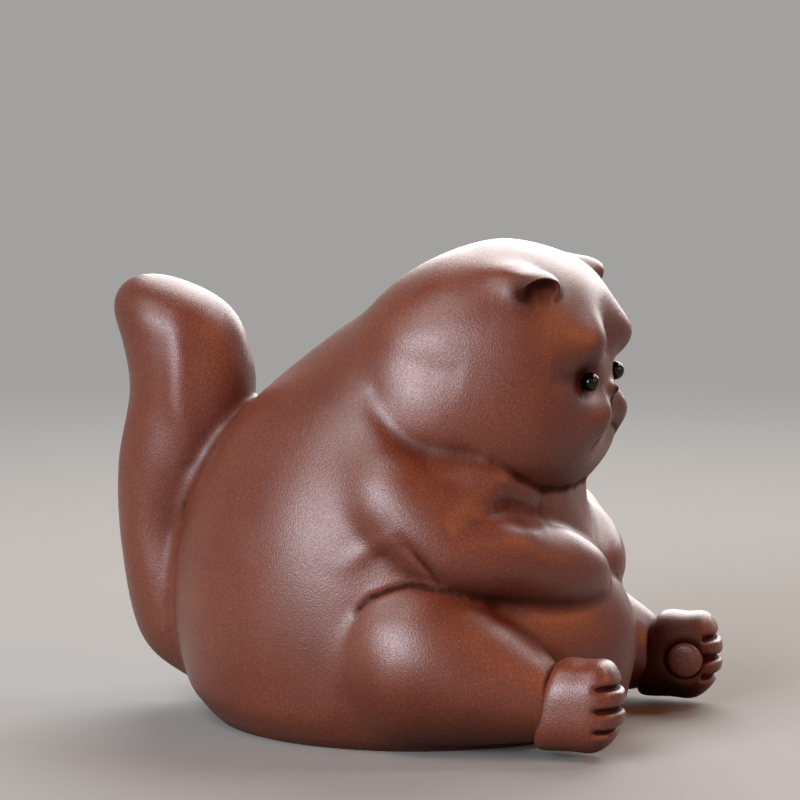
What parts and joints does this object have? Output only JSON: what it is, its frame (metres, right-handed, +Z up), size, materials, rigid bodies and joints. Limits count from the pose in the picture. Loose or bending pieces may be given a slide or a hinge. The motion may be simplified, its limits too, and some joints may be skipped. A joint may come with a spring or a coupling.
{
  "type": "cat tea pet figurine",
  "caption": "Seated fat flat-faced cat figurine in unglazed reddish stoneware, paws folded on its belly and tail upright, a small ornament for a tea tray.",
  "frame": {"origin": "middle of the figure's footprint on the surface that it stands on", "axes": "+Z up, -Y the way the cat faces, -X the cat's right side"},
  "size_m": [0.0552, 0.0786, 0.063],
  "materials": {
    "stoneware": "unglazed, burnished to a satin sheen, with fine sand grain",
    "base_clay": "unglazed, matt and slightly gritty",
    "bead_glass": "polished black"
  },
  "bodies": {
    "root": {"torso": "stoneware", "base_plate": "base_clay", "head": "stoneware", "ear_right": "stoneware", "ear_left": "stoneware", "eye_right": "bead_glass", "eye_left": "bead_glass", "arm_right": "stoneware", "arm_left": "stoneware", "leg_right": "stoneware", "leg_left": "stoneware", "foot_right": "stoneware", "foot_left": "stoneware", "sole_pad_right": "stoneware", "sole_pad_left": "stoneware", "tail": "stoneware"}
  },
  "joints": []
}
